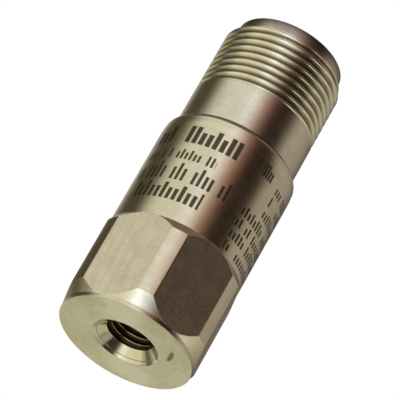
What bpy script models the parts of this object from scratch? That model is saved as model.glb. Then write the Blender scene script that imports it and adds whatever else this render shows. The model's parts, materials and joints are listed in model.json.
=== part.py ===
"""Industrial vibration sensor: hex base with a tapped mounting hole, round body, threaded connector.

A stainless housing is turned from round bar, milled to a hexagon and bored from above. A shear
sensing element and its circuit board are stacked in the bore, insulated from the case, and the
connector shell is welded on top with a glass-sealed pair of pins.
The origin is the centre of the mounting face, +Z runs along the axis towards the connector.
All sizes are in metres.
"""
import math

import bmesh
import bpy
from mathutils import Matrix, Vector

# Hexagon and body of the housing
HEX_ACROSS_FLATS = 0.01748
CORNER_STAND = 0.00079          # turned corner bands beyond the flats
BODY_STAND = 0.00006            # turned body beyond the flats
BASE_LAND_HEIGHT = 0.00055
BASE_CHAMFER_HEIGHT = 0.00175
HEX_BAND_HEIGHT = 0.00933
HEX_TOP_CHAMFER_HEIGHT = 0.00127
BODY_LENGTH = 0.01443           # from the hexagon to the weld's middle
BODY_WALL = 0.0017
CAVITY_FILLET = 0.0006

# Tapped mounting hole, bored at the thread's major diameter
MOUNT_HOLE_DIAMETER = 0.00635
MOUNT_HOLE_DEPTH = 0.0072
COUNTERSINK_DIAMETER = 0.0084
COUNTERSINK_DEPTH = 0.001
DRILL_POINT_ANGLE = math.radians(118)
FLOOR_WALL = 0.0012             # metal between the drill point and the cavity

# Weld between the housing and the connector shell
WELD_WIDTH = 0.00124
WELD_DEPTH = 0.0008
WELD_CROWN = 0.00004

# Connector shell
SHOULDER_TAPER = 0.00007        # the flange is this much smaller than the body
FLANGE_LAND_HEIGHT = 0.0003
SHOULDER_HEIGHT = 0.00065
NECK_LENGTH = 0.006
THREAD_DIAMETER = 0.01583
THREAD_PITCH = 0.0254 / 24
THREAD_LENGTH = 0.0092
THREAD_DEPTH = 0.00063
THREAD_CREST_SHARE = 0.16       # of the pitch
THREAD_ROOT_SHARE = 0.22
THREAD_PHASE = 0.057            # of a turn
LEAD_STEP = 0.00028             # plain lead below the thread's root
LEAD_LENGTH = 0.0015
RIM_RADIUS = 0.00025
MOUTH_WALL = 0.0006
MOUTH_DEPTH = 0.0094
MOUTH_CHAMFER = 0.00015
HEADER_SEAT_WIDTH = 0.001
SPIGOT_LENGTH = 0.0013
SPIGOT_WALL = 0.0015            # at least
KEY_WIDTH = 0.0016
KEY_HEIGHT = 0.0008
KEY_SETBACK = 0.0012            # from the mouth's rim

# Glass-sealed header and pins
HEADER_HEIGHT = 0.004
HEADER_RING_WALL = 0.0007
PIN_DIAMETER = 0.00157
PIN_SPACING = 0.00478
PIN_REACH = 0.0064              # above the glass
PIN_TAIL = 0.0028               # below the glass
PIN_TIP_RADIUS = 0.0005

# Case isolation and sensing element
SLEEVE_WALL = 0.00035
WASHER_THICKNESS = 0.0005
WASHER_BORE_DIAMETER = 0.003
ELEMENT_BASE_THICKNESS = 0.0012
POST_HEIGHT = 0.0056
PIEZO_THICKNESS = 0.0006
PIEZO_WIDTH = 0.0028
PIEZO_HEIGHT = 0.0042
MASS_HEIGHT = 0.0044
MASS_SPAN_ANGLE = math.radians(98)
ELEMENT_LIFT = 0.0005           # masses above the element's base
PRELOAD_RING_WALL = 0.0005
PRELOAD_RING_HEIGHT = 0.0032
CAN_WALL = 0.00035
CAN_ROOM = 0.0012               # between the can and the sleeve
CAN_HEADROOM = 0.0011
CAN_FEED_DIAMETER = 0.0015
GROMMET_WALL = 0.0002
GROMMET_FLANGE = 0.0003

# Circuit board stack
CARRIER_HEIGHT = 0.001
CARRIER_WALL = 0.0019
BOARD_THICKNESS = 0.0008
BOARD_FEED_DIAMETER = 0.0008
SPACER_WALL = 0.0008
COMPONENT_MARGIN = 0.0004       # between the components and the spacer
LEAD_DIAMETER = 0.0005
GROUND_LEAD_OFFSET = 0.0014
OUTPUT_PAD_OFFSET = 0.0015

# Clearances and mesh settings
SEAT_GAP = 0.0002
FIT_GAP = 0.00015
PART_GAP = 0.0001
MERGE = 0.000001
ROUND = 60
SHELL_ROUND = 40
STACK_ROUND = 40
SMALL_ROUND = 24
SHARP_ANGLE = math.radians(32)

# Sizes that follow from those above
hex_apothem = HEX_ACROSS_FLATS / 2
bar_radius = hex_apothem + CORNER_STAND
body_radius = hex_apothem + BODY_STAND
cavity_radius = body_radius - BODY_WALL
base_chamfer_top = BASE_LAND_HEIGHT + BASE_CHAMFER_HEIGHT
hex_band_top = base_chamfer_top + HEX_BAND_HEIGHT
body_start = hex_band_top + HEX_TOP_CHAMFER_HEIGHT
weld_z = body_start + BODY_LENGTH

hole_radius = MOUNT_HOLE_DIAMETER / 2
drill_tip = MOUNT_HOLE_DEPTH + hole_radius / math.tan(DRILL_POINT_ANGLE / 2)
cavity_floor = drill_tip + FLOOR_WALL

flange_radius = body_radius - SHOULDER_TAPER
flange_top = weld_z + WELD_WIDTH / 2 + FLANGE_LAND_HEIGHT
neck_start = flange_top + SHOULDER_HEIGHT
thread_start = neck_start + NECK_LENGTH
thread_end = thread_start + THREAD_LENGTH
shell_top = thread_end + LEAD_LENGTH
thread_radius = THREAD_DIAMETER / 2
root_radius = thread_radius - THREAD_DEPTH
lead_radius = root_radius - LEAD_STEP
mouth_radius = lead_radius - MOUTH_WALL
mouth_floor = shell_top - MOUTH_DEPTH
header_bottom = mouth_floor - HEADER_HEIGHT
header_seat = header_bottom - SEAT_GAP
spigot_radius = cavity_radius - SEAT_GAP
lower_bore_radius = min(mouth_radius - HEADER_SEAT_WIDTH, spigot_radius - SPIGOT_WALL)

sleeve_outer = cavity_radius - SEAT_GAP
sleeve_inner = sleeve_outer - SLEEVE_WALL
stack_radius = sleeve_inner - SEAT_GAP
washer_bottom = cavity_floor + SEAT_GAP
element_base_bottom = washer_bottom + WASHER_THICKNESS + SEAT_GAP
element_base_top = element_base_bottom + ELEMENT_BASE_THICKNESS
post_top = element_base_top + POST_HEIGHT
mass_bottom = element_base_top + ELEMENT_LIFT
mass_middle = mass_bottom + MASS_HEIGHT / 2
can_outer = stack_radius - CAN_ROOM
can_inner = can_outer - CAN_WALL
ring_outer = can_inner - FIT_GAP
ring_inner = ring_outer - PRELOAD_RING_WALL
mass_outer = ring_inner - FIT_GAP
mass_inner = mass_outer * math.cos(MASS_SPAN_ANGLE / 2)
piezo_inner = mass_inner - FIT_GAP - PIEZO_THICKNESS
post_apothem = piezo_inner - FIT_GAP
can_bottom = element_base_top + SEAT_GAP
can_ceiling = max(post_top, mass_bottom + MASS_HEIGHT) + CAN_HEADROOM
can_top = can_ceiling + CAN_WALL

carrier_bottom = can_top + SEAT_GAP
carrier_top = carrier_bottom + GROMMET_FLANGE + CARRIER_HEIGHT
board_bottom = carrier_top + SEAT_GAP
board_top = board_bottom + BOARD_THICKNESS
spacer_bottom = board_top + SEAT_GAP
spacer_inner = stack_radius - SPACER_WALL
spigot_bottom = weld_z - SPIGOT_LENGTH
spacer_top = spigot_bottom - SEAT_GAP
pin_bottom = header_bottom - PIN_TAIL


def clear_scene():
    for item in list(bpy.data.objects):
        bpy.data.objects.remove(item, do_unlink=True)


def finish(name, colour, metallic, roughness):
    """A plain Principled material."""
    made = bpy.data.materials.new(name)
    made.use_nodes = True
    shader = made.node_tree.nodes["Principled BSDF"]
    shader.inputs["Base Color"].default_value = (*colour, 1.0)
    shader.inputs["Metallic"].default_value = metallic
    shader.inputs["Roughness"].default_value = roughness
    made.diffuse_color = (*colour, 1.0)
    return made


def place(name, bm, material):
    """Turn a bmesh into a named, smooth-shaded object with crisp edges."""
    bmesh.ops.recalc_face_normals(bm, faces=bm.faces)
    mesh = bpy.data.meshes.new(name)
    bm.to_mesh(mesh)
    bm.free()
    mesh.shade_smooth()
    mesh.set_sharp_from_angle(angle=SHARP_ANGLE)
    item = bpy.data.objects.new(name, mesh)
    bpy.context.scene.collection.objects.link(item)
    if material is not None:
        mesh.materials.append(material)
    return item


def turned(name, profile, material, segments=ROUND, loop=True):
    """Spin a profile of (radius, height) points about Z. An open profile ends on the axis."""
    bm = bmesh.new()
    points = [bm.verts.new((radius, 0, height)) for radius, height in profile]
    edges = [bm.edges.new(pair) for pair in zip(points, points[1:])]
    if loop:
        edges.append(bm.edges.new((points[-1], points[0])))
    bmesh.ops.spin(bm, geom=points + edges, cent=(0, 0, 0), axis=(0, 0, 1),
                   angle=math.tau, steps=segments, use_merge=True)
    bmesh.ops.remove_doubles(bm, verts=bm.verts, dist=MERGE)
    return place(name, bm, material)


def tube_profile(inner, outer, low, high):
    return [(inner, low), (outer, low), (outer, high), (inner, high)]


def arc(centre_r, centre_z, radius, start, stop, steps):
    """Points on an arc, angles in degrees from the outward direction towards +Z."""
    angles = [math.radians(start + (stop - start) * k / steps) for k in range(steps + 1)]
    return [(centre_r + radius * math.cos(a), centre_z + radius * math.sin(a)) for a in angles]


def prism(name, outline, low, high, material, turn=0.0, shift=(0, 0)):
    """Extrude an outline of (x, y) points from one height to another."""
    bm = bmesh.new()
    face = bm.faces.new([bm.verts.new((x, y, low)) for x, y in outline])
    grown = bmesh.ops.extrude_face_region(bm, geom=[face])["geom"]
    lifted = [v for v in grown if isinstance(v, bmesh.types.BMVert)]
    bmesh.ops.translate(bm, verts=lifted, vec=(0, 0, high - low))
    bmesh.ops.transform(bm, verts=bm.verts, matrix=Matrix.Rotation(turn, 4, "Z"))
    bmesh.ops.translate(bm, verts=bm.verts, vec=(*shift, 0))
    return place(name, bm, material)


def polygon(apothem, sides, turn=0.0):
    """Corners of a regular polygon with a flat facing the given direction."""
    reach = apothem / math.cos(math.pi / sides)
    angles = [turn + math.tau * (k + 0.5) / sides for k in range(sides)]
    return [(reach * math.cos(a), reach * math.sin(a)) for a in angles]


def rectangle(width, depth):
    half_x, half_y = width / 2, depth / 2
    return [(-half_x, -half_y), (half_x, -half_y), (half_x, half_y), (-half_x, half_y)]


def lead_wire(name, path, material):
    """A round wire along a smooth curve through its route's points."""
    steps = 5
    ends = [2 * path[0] - path[1]] + path + [2 * path[-1] - path[-2]]
    curve = bpy.data.curves.new(name, "CURVE")
    curve.dimensions = "3D"
    curve.bevel_depth = LEAD_DIAMETER / 2
    curve.bevel_resolution = 2
    curve.use_fill_caps = True
    points = []
    for before, start, stop, after in zip(ends, ends[1:], ends[2:], ends[3:]):
        for k in range(steps):
            t = k / steps
            points.append(0.5 * (2 * start + (stop - before) * t
                                 + (2 * before - 5 * start + 4 * stop - after) * t ** 2
                                 + (3 * start - before - 3 * stop + after) * t ** 3))
    points.append(path[-1])
    spline = curve.splines.new("POLY")
    spline.points.add(len(points) - 1)
    for spot, point in zip(spline.points, points):
        spot.co = (*point, 1)
    item = bpy.data.objects.new(name, curve)
    bpy.context.scene.collection.objects.link(item)
    curve.materials.append(material)
    return item


def combine(target, tool, operation):
    """Boolean with a tool that stays hidden as a wire guide."""
    tool.hide_render = True
    tool.display_type = "WIRE"
    step = target.modifiers.new(tool.name, "BOOLEAN")
    step.operation = operation
    step.solver = "EXACT"
    step.object = tool


def hex_die():
    """The metal that milling takes away: a block with a hexagonal hole, one flat facing -Y."""
    inner = polygon(hex_apothem, 6, math.radians(-90))
    outer = polygon(HEX_ACROSS_FLATS, 6, math.radians(-90))
    low = -CORNER_STAND
    high = body_start + BODY_STAND
    bm = bmesh.new()
    rings = []
    for outline, height in ((inner, low), (outer, low), (outer, high), (inner, high)):
        rings.append([bm.verts.new((x, y, height)) for x, y in outline])
    for ring, following in zip(rings, rings[1:] + rings[:1]):
        for k in range(6):
            after = (k + 1) % 6
            bm.faces.new((ring[k], ring[after], following[after], following[k]))
    return place("hex_milling_guide", bm, None)


def make_housing(steel):
    """Base and body in one piece: cavity, outside and mounting hole in one turned profile."""
    joint = weld_z - SEAT_GAP / 2
    bottom_corner = arc(cavity_radius - CAVITY_FILLET, cavity_floor + CAVITY_FILLET,
                        CAVITY_FILLET, -90, 0, 3)
    profile = [(0, cavity_floor), *bottom_corner,
               (cavity_radius, joint),
               (body_radius - WELD_DEPTH, joint),
               (body_radius, weld_z - WELD_WIDTH / 2),
               (body_radius, body_start),
               (bar_radius, hex_band_top),
               (bar_radius, base_chamfer_top),
               (hex_apothem, BASE_LAND_HEIGHT),
               (hex_apothem, 0),
               (COUNTERSINK_DIAMETER / 2, 0),
               (hole_radius, COUNTERSINK_DEPTH),
               (hole_radius, MOUNT_HOLE_DEPTH),
               (0, drill_tip)]
    housing = turned("housing", profile, steel, loop=False)
    combine(housing, hex_die(), "DIFFERENCE")
    return housing


def make_weld(metal):
    """A bead that fills the groove between the two chamfered edges, slightly crowned."""
    half = WELD_WIDTH / 2 - SEAT_GAP
    slope = (WELD_WIDTH / 2 - SEAT_GAP / 2) / WELD_DEPTH
    root = body_radius - WELD_DEPTH + SEAT_GAP / 2 / slope
    edge = body_radius - SHOULDER_TAPER
    profile = [(root, weld_z), (edge, weld_z - half), (edge + WELD_CROWN, weld_z - half / 2),
               (edge + WELD_CROWN, weld_z + half / 2), (edge, weld_z + half)]
    return turned("weld_bead", profile, metal)


def thread_radius_at(angle, height):
    """Radius of the screw thread: crest, flank, root, flank, with a chamfered start at the top."""
    turns = angle / math.tau
    share = ((height - thread_start) / THREAD_PITCH - turns + THREAD_PHASE) % 1.0
    flank = (1 - THREAD_CREST_SHARE - THREAD_ROOT_SHARE) / 2
    away = abs(share - 0.5) - THREAD_CREST_SHARE / 2
    rise = min(max(1 - away / flank, 0.0), 1.0)
    chamfer = lead_radius + (thread_end - height)
    return max(min(root_radius + THREAD_DEPTH * rise, chamfer), lead_radius)


def thread_levels():
    """Heights of the thread's profile corners at angle zero, past both ends by over a turn."""
    flank = (1 - THREAD_CREST_SHARE - THREAD_ROOT_SHARE) / 2
    half_crest = THREAD_CREST_SHARE / 2
    corners = (0.5 - half_crest - flank, 0.5 - half_crest, 0.5 + half_crest, 0.5 + half_crest + flank)
    turns = math.ceil(THREAD_LENGTH / THREAD_PITCH)
    return [thread_start + THREAD_PITCH * (turn + corner - THREAD_PHASE)
            for turn in range(-2, turns + 2) for corner in corners]


def thread_faces(bm):
    """A strip that climbs the helix, held between the thread's two end planes."""
    levels = thread_levels()
    rows = []
    for level in levels:
        row = []
        for k in range(SHELL_ROUND):
            angle = math.tau * k / SHELL_ROUND
            climbed = level + THREAD_PITCH * k / SHELL_ROUND
            height = min(max(climbed, thread_start), thread_end)
            radius = thread_radius_at(angle, height)
            row.append(bm.verts.new((radius * math.cos(angle), radius * math.sin(angle), height)))
        rows.append(row)
    per_turn = 4
    for j in range(len(rows) - 1):
        for k in range(SHELL_ROUND):
            shift = per_turn if k == SHELL_ROUND - 1 else 0
            after = (k + 1) % SHELL_ROUND
            if j + 1 + shift < len(rows):
                bm.faces.new((rows[j][k], rows[j + shift][after],
                              rows[j + 1 + shift][after], rows[j + 1][k]))


def ring_faces(bm, rings):
    """Quads between neighbouring rings, each ring a list of as many corners."""
    for low, high in zip(rings, rings[1:]):
        for k in range(SHELL_ROUND):
            after = (k + 1) % SHELL_ROUND
            bm.faces.new((low[k], low[after], high[after], high[k]))


def ring(bm, radius, height):
    """A ring of corners. A radius of None follows the thread."""
    corners = []
    for k in range(SHELL_ROUND):
        angle = math.tau * k / SHELL_ROUND
        reach = thread_radius_at(angle, height) if radius is None else radius
        corners.append(bm.verts.new((reach * math.cos(angle), reach * math.sin(angle), height)))
    return corners


def make_connector_shell(steel):
    """Spigot, welded flange, neck, screw thread and open mouth with its polarizing key."""
    joint = weld_z + SEAT_GAP / 2
    rim = arc(lead_radius - RIM_RADIUS, shell_top - RIM_RADIUS, RIM_RADIUS, 0, 90, 2)
    below = [(spigot_radius, spigot_bottom), (spigot_radius, joint),
             (flange_radius - WELD_DEPTH, joint),
             (flange_radius, weld_z + WELD_WIDTH / 2), (flange_radius, flange_top),
             (thread_radius, neck_start), (thread_radius, thread_start), (None, thread_start)]
    above = [(None, thread_end), (lead_radius, thread_end), *rim,
             (mouth_radius + MOUTH_CHAMFER, shell_top), (mouth_radius, shell_top - MOUTH_CHAMFER),
             (mouth_radius, header_seat), (lower_bore_radius, header_seat),
             (lower_bore_radius, spigot_bottom), (spigot_radius, spigot_bottom)]
    bm = bmesh.new()
    ring_faces(bm, [ring(bm, radius, height) for radius, height in below])
    thread_faces(bm)
    ring_faces(bm, [ring(bm, radius, height) for radius, height in above])
    bmesh.ops.remove_doubles(bm, verts=bm.verts, dist=MERGE)
    shell = place("connector_shell", bm, steel)
    root = mouth_radius + MOUTH_WALL / 2
    key = prism("polarizing_key_guide", rectangle(KEY_WIDTH, root - (mouth_radius - KEY_HEIGHT)),
                mouth_floor + FIT_GAP, shell_top - KEY_SETBACK, None,
                shift=(0, (root + mouth_radius - KEY_HEIGHT) / 2))
    combine(shell, key, "UNION")
    return shell


def make_header(steel, glass, gold):
    """Steel eyelet in the mouth, glass plug in the eyelet, two pins through the glass."""
    ring_outer_radius = mouth_radius - FIT_GAP
    ring_inner_radius = ring_outer_radius - HEADER_RING_WALL
    turned("header_ring", tube_profile(ring_inner_radius, ring_outer_radius, header_bottom, mouth_floor),
           steel, SHELL_ROUND)
    glass_radius = ring_inner_radius - FIT_GAP
    seal = turned("glass_seal", [(0, header_bottom), (glass_radius, header_bottom),
                                 (glass_radius, mouth_floor), (0, mouth_floor)], glass,
                  SHELL_ROUND, loop=False)
    pin_radius = PIN_DIAMETER / 2
    tip_height = mouth_floor + PIN_REACH
    tip = arc(pin_radius - PIN_TIP_RADIUS, tip_height - PIN_TIP_RADIUS, PIN_TIP_RADIUS, 0, 90, 3)
    profile = [(0, pin_bottom), (pin_radius - FIT_GAP, pin_bottom),
               (pin_radius, pin_bottom + FIT_GAP), *tip, (0, tip_height)]
    for side, name in ((-1, "a"), (1, "b")):
        pin = turned("pin_" + name, profile, gold, SMALL_ROUND, loop=False)
        hole = prism("pin_hole_guide_" + name, polygon(pin_radius + PART_GAP, SMALL_ROUND),
                     header_bottom - SEAT_GAP, mouth_floor + SEAT_GAP, None,
                     shift=(side * PIN_SPACING / 2, 0))
        combine(seal, hole, "DIFFERENCE")
        pin.location.x = side * PIN_SPACING / 2


def make_isolation(ceramic, film):
    """Ceramic washer under the element and a film sleeve round the whole stack."""
    turned("isolation_washer", tube_profile(WASHER_BORE_DIAMETER / 2, stack_radius, washer_bottom,
                                            washer_bottom + WASHER_THICKNESS), ceramic, STACK_ROUND)
    foot = cavity_floor + CAVITY_FILLET
    turned("isolation_sleeve", tube_profile(sleeve_inner, sleeve_outer, foot, spacer_top), film,
           STACK_ROUND)


def make_element(base_metal, crystal, heavy_metal, ring_steel):
    """Three-sided post with a crystal and a mass on each side, squeezed by one ring."""
    disc = [(0, element_base_bottom), (stack_radius, element_base_bottom),
            (stack_radius, element_base_top), (0, element_base_top)]
    post = turned("element_post", disc, base_metal, STACK_ROUND, loop=False)
    stem = prism("post_stem_guide", polygon(post_apothem, 3, math.radians(-90)),
                 element_base_top - ELEMENT_BASE_THICKNESS / 2, post_top, None)
    combine(post, stem, "UNION")
    half = math.degrees(MASS_SPAN_ANGLE) / 2
    mass_outline = arc(0, 0, mass_outer, -half, half, 12)
    piezo_middle = piezo_inner + PIEZO_THICKNESS / 2
    for k, name in enumerate("abc"):
        turn = math.radians(-90) + math.tau * k / 3
        away = Vector((math.cos(turn), math.sin(turn))) * piezo_middle
        prism("piezo_plate_" + name, rectangle(PIEZO_THICKNESS, PIEZO_WIDTH),
              mass_middle - PIEZO_HEIGHT / 2, mass_middle + PIEZO_HEIGHT / 2, crystal, turn, away)
        prism("seismic_mass_" + name, mass_outline, mass_bottom, mass_bottom + MASS_HEIGHT,
              heavy_metal, turn)
    low = mass_middle - PRELOAD_RING_HEIGHT / 2
    turned("preload_ring", tube_profile(ring_inner, ring_outer, low, low + PRELOAD_RING_HEIGHT),
           ring_steel, STACK_ROUND)


def make_can(brass, rubber):
    """Shield cup upside down over the element, with an insulating bush where the lead comes out."""
    feed = CAN_FEED_DIAMETER / 2
    turned("shield_can", [(can_outer, can_bottom), (can_outer, can_top), (feed, can_top),
                          (feed, can_ceiling), (can_inner, can_ceiling), (can_inner, can_bottom)],
           brass, STACK_ROUND)
    bush = feed - PART_GAP
    inner = bush - GROMMET_WALL
    collar = feed + GROMMET_FLANGE
    turned("lead_grommet", [(inner, can_ceiling), (bush, can_ceiling), (bush, can_top + PART_GAP),
                            (collar, can_top + PART_GAP), (collar, can_top + GROMMET_FLANGE),
                            (inner, can_top + GROMMET_FLANGE)], rubber, SMALL_ROUND)


def make_board(plastic, laminate):
    """Carrier ring on the can, round board on the carrier, spacer tube up to the spigot."""
    inner = stack_radius - CARRIER_WALL
    turned("board_carrier", tube_profile(inner, stack_radius, carrier_bottom, carrier_top), plastic,
           STACK_ROUND)
    board = turned("circuit_board", [(0, board_bottom), (stack_radius, board_bottom),
                                     (stack_radius, board_top), (0, board_top)], laminate,
                   STACK_ROUND, loop=False)
    for name, y in (("signal", 0), ("ground", -GROUND_LEAD_OFFSET)):
        hole = prism("board_feed_guide_" + name, polygon(BOARD_FEED_DIAMETER / 2, SMALL_ROUND),
                     board_bottom - SEAT_GAP, board_top + SEAT_GAP, None, shift=(0, y))
        combine(board, hole, "DIFFERENCE")
    turned("board_spacer", tube_profile(spacer_inner, stack_radius, spacer_bottom, spacer_top),
           plastic, STACK_ROUND)


# Board components: name, length, width, height, bearing in degrees from +X
COMPONENTS = (
    ("amplifier_chip", 0.0029, 0.0016, 0.0011, 90),
    ("coupling_capacitor", 0.0029, 0.0016, 0.0013, 270),
    ("bypass_capacitor", 0.002, 0.00125, 0.0009, 28),
    ("gate_resistor", 0.002, 0.00125, 0.0005, 152),
    ("bias_resistor", 0.002, 0.00125, 0.0005, 208),
    ("protection_diode", 0.0019, 0.0012, 0.0008, 332),
)


def make_components(finishes):
    """Surface-mounted pieces round the board's upper side, their far corners near the spacer."""
    for name, length, width, height, bearing in COMPONENTS:
        low = board_top + PART_GAP
        reach = math.sqrt((spacer_inner - COMPONENT_MARGIN) ** 2 - (length / 2) ** 2) - width / 2
        angle = math.radians(bearing)
        piece = prism(name, rectangle(width, length), low, low + height, finishes[name], angle,
                      (reach * math.cos(angle), reach * math.sin(angle)))
        soften = piece.modifiers.new("edges", "BEVEL")
        soften.width = PART_GAP
        soften.segments = 1
        soften.limit_method = "ANGLE"


def make_leads(red, white):
    """Inner leads: crystal and shield to the board, board to the two pins."""
    lift = PART_GAP + LEAD_DIAMETER / 2
    above_board = board_top + LEAD_DIAMETER
    mass_side = Vector((0, -(mass_inner + mass_outer) / 2, mass_bottom + MASS_HEIGHT + lift))
    over_post = Vector((0, -post_apothem, post_top + lift))
    lead_wire("signal_lead", [mass_side, over_post, Vector((0, 0, can_ceiling - LEAD_DIAMETER)),
                              Vector((0, 0, can_ceiling)), Vector((0, 0, above_board))], red)
    lead_wire("ground_lead", [Vector((0, -GROUND_LEAD_OFFSET, can_top + PART_GAP)),
                              Vector((0, -GROUND_LEAD_OFFSET, board_bottom)),
                              Vector((0, -GROUND_LEAD_OFFSET, above_board))], white)
    for side, name, colour in ((-1, "a", white), (1, "b", red)):
        low = Vector((side * OUTPUT_PAD_OFFSET, 0, board_top + PART_GAP))
        high = Vector((side * PIN_SPACING / 2, 0, pin_bottom - PART_GAP))
        bow = Vector((0, side * LEAD_DIAMETER, 0))
        lead_wire("output_lead_" + name, [low, low.lerp(high, 1 / 3) + bow,
                                          low.lerp(high, 2 / 3) - bow, high], colour)


clear_scene()
housing_steel = finish("housing_steel", (0.62, 0.59, 0.50), 1.0, 0.32)
connector_steel = finish("connector_steel", (0.63, 0.60, 0.52), 1.0, 0.28)
weld_metal = finish("weld_metal", (0.58, 0.53, 0.42), 1.0, 0.35)
header_steel = finish("header_steel", (0.55, 0.55, 0.54), 1.0, 0.35)
sealing_glass = finish("sealing_glass", (0.05, 0.09, 0.08), 0.0, 0.15)
pin_gold = finish("pin_gold", (0.83, 0.62, 0.27), 1.0, 0.25)
washer_ceramic = finish("washer_ceramic", (0.86, 0.85, 0.80), 0.0, 0.4)
sleeve_film = finish("sleeve_film", (0.62, 0.33, 0.08), 0.0, 0.35)
element_steel = finish("element_steel", (0.60, 0.60, 0.60), 1.0, 0.3)
piezo_ceramic = finish("piezo_ceramic", (0.42, 0.36, 0.27), 0.0, 0.5)
mass_tungsten = finish("mass_tungsten", (0.25, 0.25, 0.26), 1.0, 0.4)
can_brass = finish("can_brass", (0.72, 0.55, 0.26), 1.0, 0.3)
grommet_rubber = finish("grommet_rubber", (0.03, 0.03, 0.03), 0.0, 0.7)
carrier_plastic = finish("carrier_plastic", (0.66, 0.56, 0.42), 0.0, 0.5)
board_laminate = finish("board_laminate", (0.03, 0.22, 0.09), 0.0, 0.35)
chip_black = finish("chip_black", (0.02, 0.02, 0.02), 0.0, 0.5)
capacitor_tan = finish("capacitor_tan", (0.52, 0.36, 0.20), 0.0, 0.4)
resistor_black = finish("resistor_black", (0.03, 0.03, 0.04), 0.0, 0.3)
lead_red = finish("lead_red", (0.55, 0.03, 0.02), 0.0, 0.4)
lead_white = finish("lead_white", (0.80, 0.80, 0.78), 0.0, 0.4)

make_housing(housing_steel)
make_weld(weld_metal)
make_connector_shell(connector_steel)
make_header(header_steel, sealing_glass, pin_gold)
make_isolation(washer_ceramic, sleeve_film)
make_element(element_steel, piezo_ceramic, mass_tungsten, header_steel)
make_can(can_brass, grommet_rubber)
make_board(carrier_plastic, board_laminate)
make_components({"amplifier_chip": chip_black, "coupling_capacitor": capacitor_tan,
                 "bypass_capacitor": capacitor_tan, "gate_resistor": resistor_black,
                 "bias_resistor": resistor_black, "protection_diode": chip_black})
make_leads(lead_red, lead_white)
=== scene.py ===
# %% [markdown]
# # A vibration sensor, seen from below
#
# Sensors like this one are bolted to the bearing of a pump or a motor and report how it shakes.
# The case is stainless steel: a hexagon for the spanner, a round body, and a threaded connector on
# top. The photograph looks up at the mounting face with its tapped hole.
#
# The solids come from the packed CAD model. This script gives them their finish: machining marks,
# screw threads, a weld, laser-etched marks and the studio that they reflect.

# %% The packed model
import json
import math

import bmesh
import bpy
from mathutils import Matrix, Vector

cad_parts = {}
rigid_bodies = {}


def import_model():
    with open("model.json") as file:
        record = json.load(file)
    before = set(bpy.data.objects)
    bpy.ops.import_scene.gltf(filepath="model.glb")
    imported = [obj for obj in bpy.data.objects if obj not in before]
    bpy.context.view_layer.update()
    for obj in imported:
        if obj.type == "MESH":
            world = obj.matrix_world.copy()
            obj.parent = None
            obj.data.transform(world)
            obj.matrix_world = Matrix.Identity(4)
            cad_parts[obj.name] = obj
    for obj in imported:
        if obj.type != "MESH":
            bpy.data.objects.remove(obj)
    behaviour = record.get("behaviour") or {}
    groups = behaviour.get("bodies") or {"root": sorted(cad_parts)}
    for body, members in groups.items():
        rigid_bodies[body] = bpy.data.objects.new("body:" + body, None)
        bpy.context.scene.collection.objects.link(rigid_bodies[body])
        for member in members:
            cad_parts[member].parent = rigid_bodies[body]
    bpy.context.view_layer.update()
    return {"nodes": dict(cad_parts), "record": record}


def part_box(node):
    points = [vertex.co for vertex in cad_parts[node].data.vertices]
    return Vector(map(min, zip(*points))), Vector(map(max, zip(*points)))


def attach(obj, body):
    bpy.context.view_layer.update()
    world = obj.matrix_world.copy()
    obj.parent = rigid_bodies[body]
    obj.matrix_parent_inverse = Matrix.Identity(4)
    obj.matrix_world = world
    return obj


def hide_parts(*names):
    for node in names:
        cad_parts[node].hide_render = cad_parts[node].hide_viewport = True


for item in list(bpy.data.objects):
    bpy.data.objects.remove(item)
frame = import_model()
MM = 0.001

# %% [markdown]
# ## Camera
#
# The photograph was taken from below with a long lens, and the sensor leans in it. Its bearing,
# elevation and roll were fitted to the outline of the case and to the ellipse of the mounting face.
# Placing the camera by those angles says more than a bare matrix does.

# %% Camera
CAMERA_BEARING = math.radians(-24.65)
CAMERA_ELEVATION = math.radians(-29.14)
CAMERA_ROLL = math.radians(29.85)
CAMERA_DISTANCE = 530.8 * MM
FACE_CENTRE_IN_VIEW = (-8.837 * MM, -16.854 * MM)   # right and up from the picture's middle
LENS_MM = 404.9

flat_view = Vector((math.sin(CAMERA_BEARING), -math.cos(CAMERA_BEARING), 0))
side_view = Vector((math.cos(CAMERA_BEARING), math.sin(CAMERA_BEARING), 0))
camera_back = flat_view * math.cos(CAMERA_ELEVATION) + Vector((0, 0, math.sin(CAMERA_ELEVATION)))
turn = (-camera_back).to_track_quat("-Z", "Y").to_matrix() @ Matrix.Rotation(CAMERA_ROLL, 3, "Z")
spot = turn @ Vector((-FACE_CENTRE_IN_VIEW[0], -FACE_CENTRE_IN_VIEW[1], CAMERA_DISTANCE))

camera = bpy.data.objects.new("camera", bpy.data.cameras.new("camera"))
camera.data.lens = LENS_MM
camera.data.clip_start = 10 * MM
camera.data.clip_end = 10
camera.matrix_world = Matrix.Translation(spot) @ turn.to_4x4()
bpy.context.scene.collection.objects.link(camera)
bpy.context.scene.camera = camera
bpy.context.scene.view_settings.view_transform = "Standard"
print("camera at", [round(v, 3) for v in spot])

# %% [markdown]
# ## Sums on sockets
#
# Steel finishes need small formulas, such as the distance of a point from the axis. Written node
# by node they fill pages. A class that stands for one socket and knows plus, minus and times lets
# the formulas below look like ordinary Python, while real Math nodes appear in the tree.

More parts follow.
